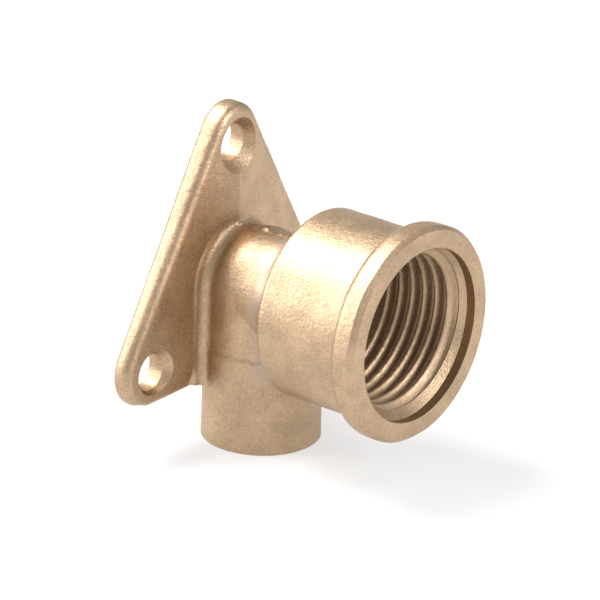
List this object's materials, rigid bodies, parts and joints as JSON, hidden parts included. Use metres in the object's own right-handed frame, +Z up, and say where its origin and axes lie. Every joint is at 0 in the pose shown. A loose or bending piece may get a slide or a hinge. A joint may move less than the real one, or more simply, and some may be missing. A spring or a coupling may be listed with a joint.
{
  "type": "wall plate elbow",
  "caption": "One-piece cast pipe elbow on a triangular screw plate: it turns a soldered tube through a right angle into a threaded socket.",
  "frame": {"origin": "on the plate's back face, where the socket's axis meets the wall", "axes": "+X out of the wall along the socket's axis, +Z up, the tube cup opens along -Z"},
  "size_m": [0.0313, 0.0388, 0.0416],
  "materials": {
    "bronze": "shot-blasted cast skin, with turned mouth, thread and screw holes"
  },
  "bodies": {
    "root": {"wall_plate_elbow": "bronze"}
  },
  "joints": []
}
